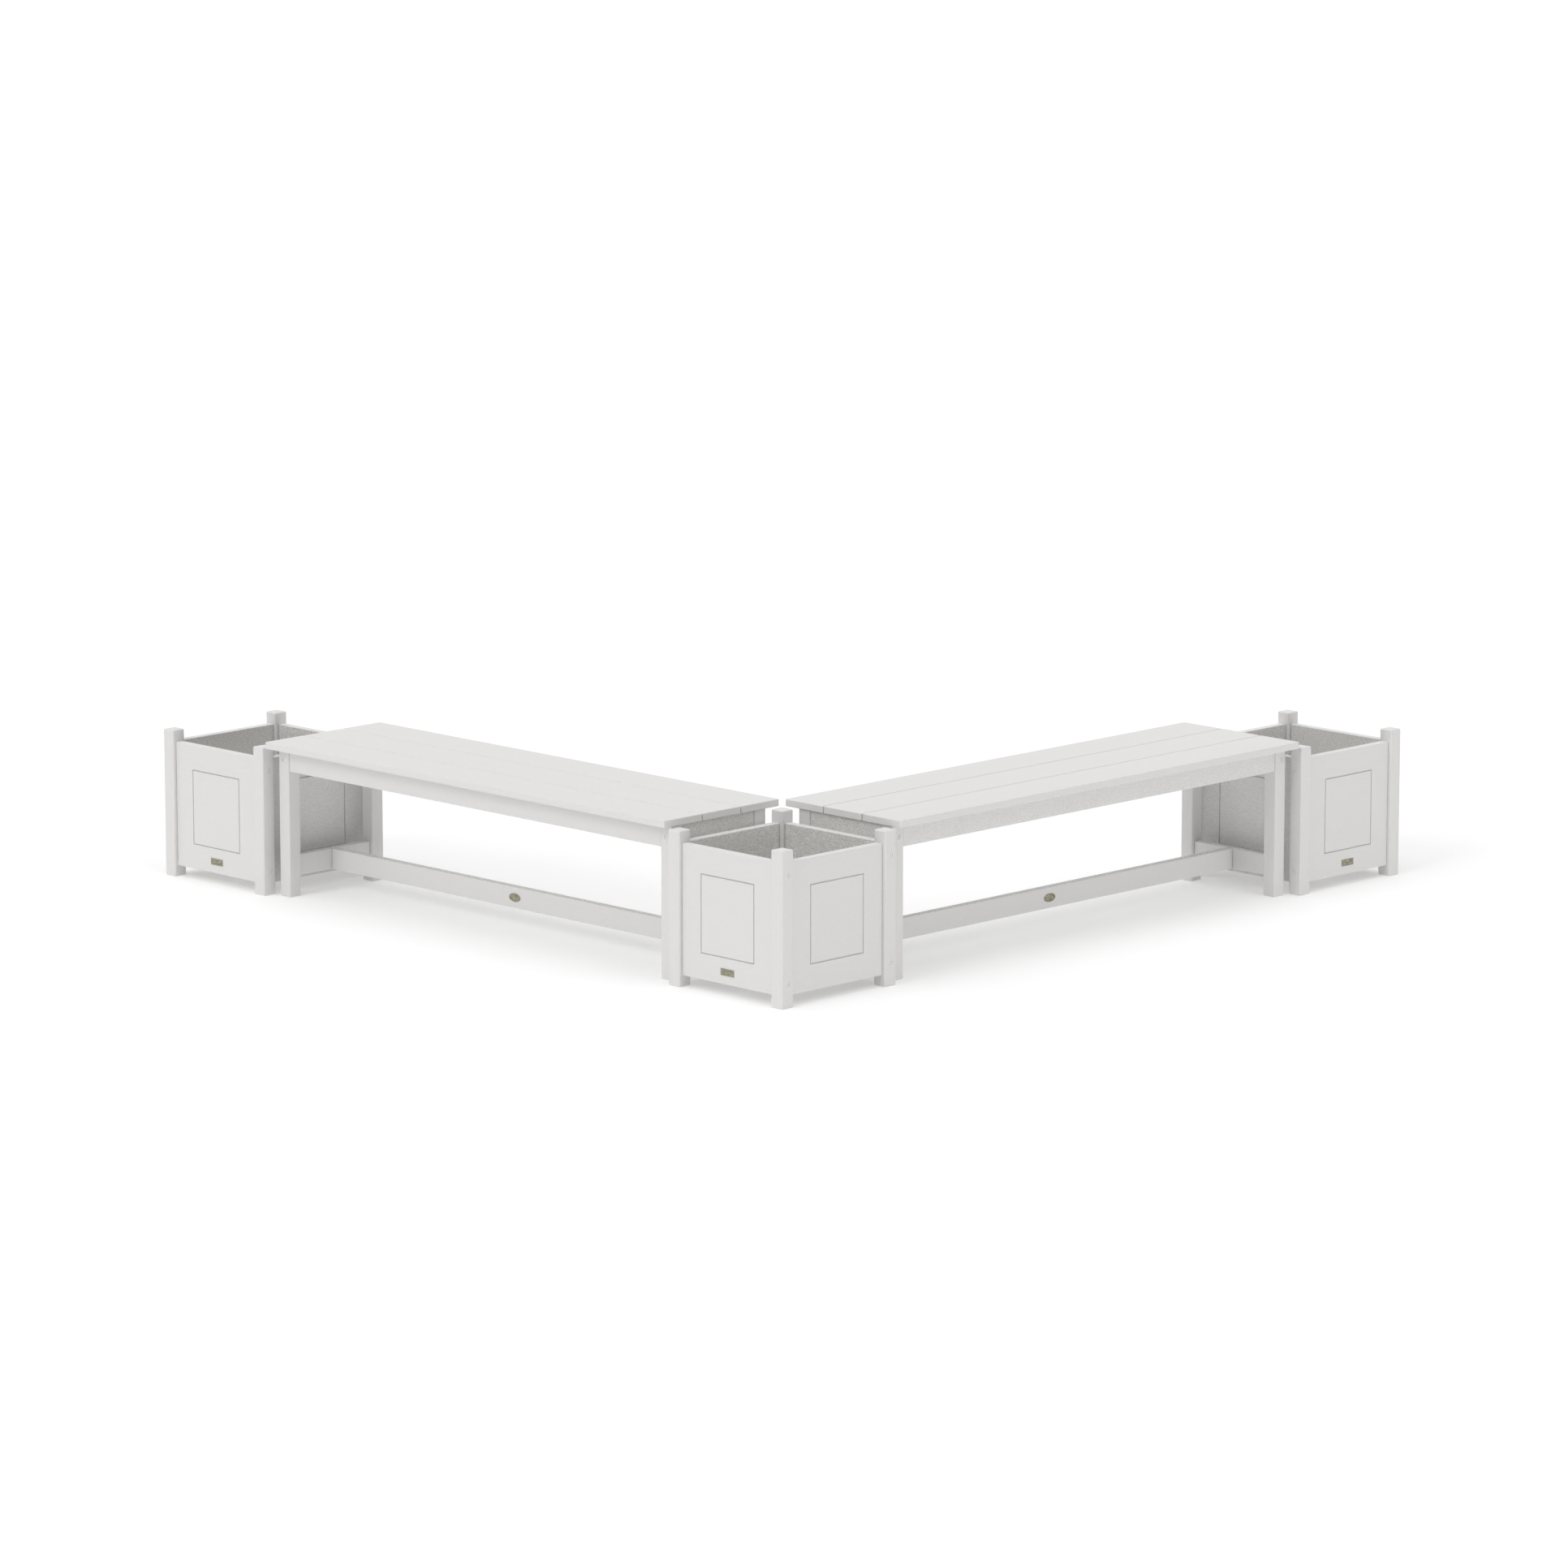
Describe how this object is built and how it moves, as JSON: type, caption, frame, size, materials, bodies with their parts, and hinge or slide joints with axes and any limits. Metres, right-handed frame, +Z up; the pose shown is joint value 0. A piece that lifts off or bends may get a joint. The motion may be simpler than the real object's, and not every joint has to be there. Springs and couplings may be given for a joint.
{
  "type": "bench with planter",
  "caption": "L-shaped garden set in white plastic lumber: backless benches with slatted seats and stretcher bases, set end to end between square planters with routed panels.",
  "frame": {"origin": "middle of the set's footprint, on the ground", "axes": "+Z up; one bench runs along X on the -Y side with its outer side facing -Y, the other runs along Y on the +X side with its outer side facing +X, and the shared corner planter is at +X, -Y"},
  "size_m": [2.3638, 2.3638, 0.4213],
  "materials": {
    "plastic_lumber": "white moulded plastic lumber, satin, with a fine brushed wood grain along each board"
  },
  "bodies": {
    "root": {"corner_planter_front_left_post": "plastic_lumber", "corner_planter_back_left_post": "plastic_lumber", "corner_planter_front_right_post": "plastic_lumber", "corner_planter_back_right_post": "plastic_lumber", "corner_planter_front_panel": "plastic_lumber", "corner_planter_right_panel": "plastic_lumber", "corner_planter_back_panel": "plastic_lumber", "corner_planter_left_panel": "plastic_lumber", "corner_planter_floor_slat_1": "plastic_lumber", "corner_planter_floor_slat_2": "plastic_lumber", "left_bench_front_left_leg": "plastic_lumber", "left_bench_back_left_leg": "plastic_lumber", "left_bench_front_right_leg": "plastic_lumber", "left_bench_back_right_leg": "plastic_lumber", "left_bench_front_apron": "plastic_lumber", "left_bench_back_apron": "plastic_lumber", "left_bench_left_end_apron": "plastic_lumber", "left_bench_left_end_stretcher": "plastic_lumber", "left_bench_right_end_apron": "plastic_lumber", "left_bench_right_end_stretcher": "plastic_lumber", "left_bench_centre_stretcher": "plastic_lumber", "left_bench_seat_batten": "plastic_lumber", "left_bench_seat_board_1": "plastic_lumber", "left_bench_seat_board_2": "plastic_lumber", "left_bench_seat_board_3": "plastic_lumber", "left_planter_front_left_post": "plastic_lumber", "left_planter_back_left_post": "plastic_lumber", "left_planter_front_right_post": "plastic_lumber", "left_planter_back_right_post": "plastic_lumber", "left_planter_front_panel": "plastic_lumber", "left_planter_right_panel": "plastic_lumber", "left_planter_back_panel": "plastic_lumber", "left_planter_left_panel": "plastic_lumber", "left_planter_floor_slat_1": "plastic_lumber", "left_planter_floor_slat_2": "plastic_lumber", "right_bench_front_left_leg": "plastic_lumber", "right_bench_back_left_leg": "plastic_lumber", "right_bench_front_right_leg": "plastic_lumber", "right_bench_back_right_leg": "plastic_lumber", "right_bench_front_apron": "plastic_lumber", "right_bench_back_apron": "plastic_lumber", "right_bench_left_end_apron": "plastic_lumber", "right_bench_left_end_stretcher": "plastic_lumber", "right_bench_right_end_apron": "plastic_lumber", "right_bench_right_end_stretcher": "plastic_lumber", "right_bench_centre_stretcher": "plastic_lumber", "right_bench_seat_batten": "plastic_lumber", "right_bench_seat_board_1": "plastic_lumber", "right_bench_seat_board_2": "plastic_lumber", "right_bench_seat_board_3": "plastic_lumber", "right_planter_front_left_post": "plastic_lumber", "right_planter_back_left_post": "plastic_lumber", "right_planter_front_right_post": "plastic_lumber", "right_planter_back_right_post": "plastic_lumber", "right_planter_front_panel": "plastic_lumber", "right_planter_right_panel": "plastic_lumber", "right_planter_back_panel": "plastic_lumber", "right_planter_left_panel": "plastic_lumber", "right_planter_floor_slat_1": "plastic_lumber", "right_planter_floor_slat_2": "plastic_lumber"}
  },
  "joints": []
}
